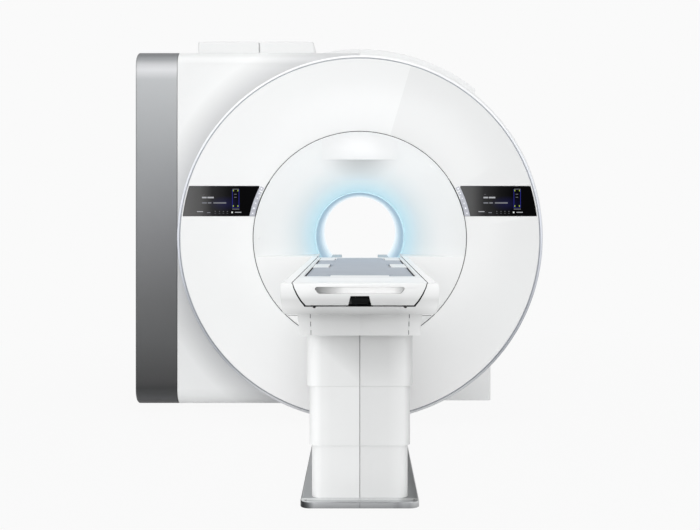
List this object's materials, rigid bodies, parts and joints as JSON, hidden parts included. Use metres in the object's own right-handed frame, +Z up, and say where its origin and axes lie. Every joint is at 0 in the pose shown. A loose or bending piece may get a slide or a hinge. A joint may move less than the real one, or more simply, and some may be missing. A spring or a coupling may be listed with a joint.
{
  "type": "mri scanner",
  "caption": "Whole-body MRI scanner: round bore gantry with lit funnel, side displays and a square cabinet side, and a lifting table whose cradle slides into the bore.",
  "frame": {"origin": "on the floor straight below the magnet's isocentre, at the underside of the skid", "axes": "+X to the right of someone facing the patient opening, +Y from the table towards the rear, +Z up"},
  "size_m": [2.7608, 4.631, 2.56],
  "materials": {
    "white_cover": "moulded gloss cover",
    "grey_band": "anodised, light at the top and dark at the bottom",
    "silver_trim": "bright trim",
    "black_glass": "black display glass",
    "key_silver": "silver keys",
    "glow_ring": "translucent light guide",
    "bore_white": "bore liner",
    "steel": "machined or brushed steel",
    "plate_grey": "cast base plate",
    "copper_coil": "resin-filled windings",
    "resin": "glass-fibre resin",
    "sleeve_white": "painted sheet",
    "pad_blue": "blue-grey pad",
    "belt_black": "reinforced rubber",
    "black_plastic": "black lever"
  },
  "bodies": {
    "root": {"front_ring_cover": "white_cover", "rim_trim": "silver_trim", "rim_cover": "white_cover", "drum_cover": "white_cover", "side_cabinet": "white_cover", "side_band": "grey_band", "rear_cover": "white_cover", "foot_cover": "white_cover", "turret_cover_left": "white_cover", "turret_cover_right": "white_cover", "top_cover_left": "white_cover", "top_cover_right": "white_cover", "front_funnel": "white_cover", "light_ring": "glow_ring", "laser_visor": "white_cover", "docking_deck": "white_cover", "kick_panel": "white_cover", "bore_liner": "bore_white", "bore_bridge": "bore_white", "display_left": "black_glass", "display_right": "black_glass", "key_panel_left": "key_silver", "key_panel_right": "key_silver", "vacuum_vessel": "steel", "thermal_shield": "plate_grey", "helium_vessel": "steel", "magnet_coils": "copper_coil", "cold_head": "steel", "gradient_coil": "resin", "rf_body_coil": "copper_coil", "magnet_skid": "steel", "base_plate": "plate_grey", "lower_sleeve": "sleeve_white", "lift_stage_lower": "steel"},
    "middle_stage": {"middle_sleeve": "sleeve_white", "lift_stage_middle": "steel"},
    "table": {"upper_sleeve": "sleeve_white", "lift_ram": "steel", "under_frame": "white_cover", "table_frame": "white_cover", "cradle_belt": "belt_black", "drive_motor": "steel"},
    "cradle": {"cradle_board": "white_cover", "end_cap": "white_cover", "pad": "pad_blue"},
    "paddle": {"release_paddle": "black_plastic"},
    "idler": {"idler_pulley": "steel"},
    "drive": {"drive_pulley": "steel"},
    "key_left_1_body": {"key_left_1": "key_silver"},
    "key_left_2_body": {"key_left_2": "key_silver"},
    "key_left_3_body": {"key_left_3": "key_silver"},
    "key_left_4_body": {"key_left_4": "key_silver"},
    "key_left_5_body": {"key_left_5": "key_silver"},
    "key_left_6_body": {"key_left_6": "key_silver"},
    "key_right_1_body": {"key_right_1": "key_silver"},
    "key_right_2_body": {"key_right_2": "key_silver"},
    "key_right_3_body": {"key_right_3": "key_silver"},
    "key_right_4_body": {"key_right_4": "key_silver"},
    "key_right_5_body": {"key_right_5": "key_silver"},
    "key_right_6_body": {"key_right_6": "key_silver"}
  },
  "joints": [
    {"name": "table_lift", "type": "slide", "parent": "root", "child": "table", "axis": [0, 0, 1], "range_m": [-0.45, 0]},
    {"name": "middle_lift", "type": "slide", "parent": "root", "child": "middle_stage", "axis": [0, 0, 1], "range_m": [-0.23, 0.005]},
    {"name": "cradle_slide", "type": "slide", "parent": "table", "child": "cradle", "axis": [0, 1, 0], "range_m": [0, 1.6]},
    {"name": "idler_turn", "type": "hinge", "parent": "table", "child": "idler", "pos_m": [0, -2.99, 0.932], "axis": [1, 0, 0], "continuous": true},
    {"name": "drive_turn", "type": "hinge", "parent": "table", "child": "drive", "pos_m": [0, -1.23, 0.932], "axis": [1, 0, 0], "continuous": true},
    {"name": "release_paddle", "type": "hinge", "parent": "cradle", "child": "paddle", "pos_m": [0, -3.509, 1.013], "axis": [1, 0, 0], "range_deg": [0, 18], "stiffness_Nm_per_rad": 0.8, "springref_deg": -11.46},
    {"name": "key_left_1_press", "type": "slide", "parent": "root", "child": "key_left_1_body", "axis": [0, 1, 0], "range_m": [0, 0.0015], "stiffness_N_per_m": 800, "springref_m": -0.0005},
    {"name": "key_left_2_press", "type": "slide", "parent": "root", "child": "key_left_2_body", "axis": [0, 1, 0], "range_m": [0, 0.0015], "stiffness_N_per_m": 800, "springref_m": -0.0005},
    {"name": "key_left_3_press", "type": "slide", "parent": "root", "child": "key_left_3_body", "axis": [0, 1, 0], "range_m": [0, 0.0015], "stiffness_N_per_m": 800, "springref_m": -0.0005},
    {"name": "key_left_4_press", "type": "slide", "parent": "root", "child": "key_left_4_body", "axis": [0, 1, 0], "range_m": [0, 0.0015], "stiffness_N_per_m": 800, "springref_m": -0.0005},
    {"name": "key_left_5_press", "type": "slide", "parent": "root", "child": "key_left_5_body", "axis": [0, 1, 0], "range_m": [0, 0.0015], "stiffness_N_per_m": 800, "springref_m": -0.0005},
    {"name": "key_left_6_press", "type": "slide", "parent": "root", "child": "key_left_6_body", "axis": [0, 1, 0], "range_m": [0, 0.0015], "stiffness_N_per_m": 800, "springref_m": -0.0005},
    {"name": "key_right_1_press", "type": "slide", "parent": "root", "child": "key_right_1_body", "axis": [0, 1, 0], "range_m": [0, 0.0015], "stiffness_N_per_m": 800, "springref_m": -0.0005},
    {"name": "key_right_2_press", "type": "slide", "parent": "root", "child": "key_right_2_body", "axis": [0, 1, 0], "range_m": [0, 0.0015], "stiffness_N_per_m": 800, "springref_m": -0.0005},
    {"name": "key_right_3_press", "type": "slide", "parent": "root", "child": "key_right_3_body", "axis": [0, 1, 0], "range_m": [0, 0.0015], "stiffness_N_per_m": 800, "springref_m": -0.0005},
    {"name": "key_right_4_press", "type": "slide", "parent": "root", "child": "key_right_4_body", "axis": [0, 1, 0], "range_m": [0, 0.0015], "stiffness_N_per_m": 800, "springref_m": -0.0005},
    {"name": "key_right_5_press", "type": "slide", "parent": "root", "child": "key_right_5_body", "axis": [0, 1, 0], "range_m": [0, 0.0015], "stiffness_N_per_m": 800, "springref_m": -0.0005},
    {"name": "key_right_6_press", "type": "slide", "parent": "root", "child": "key_right_6_body", "axis": [0, 1, 0], "range_m": [0, 0.0015], "stiffness_N_per_m": 800, "springref_m": -0.0005}
  ],
  "couplings": [
    {"joint": "middle_lift", "follows": "table_lift", "ratio": 0.5},
    {"joint": "idler_turn", "follows": "cradle_slide", "rad_per_m": -22.075},
    {"joint": "drive_turn", "follows": "cradle_slide", "rad_per_m": -22.075}
  ]
}
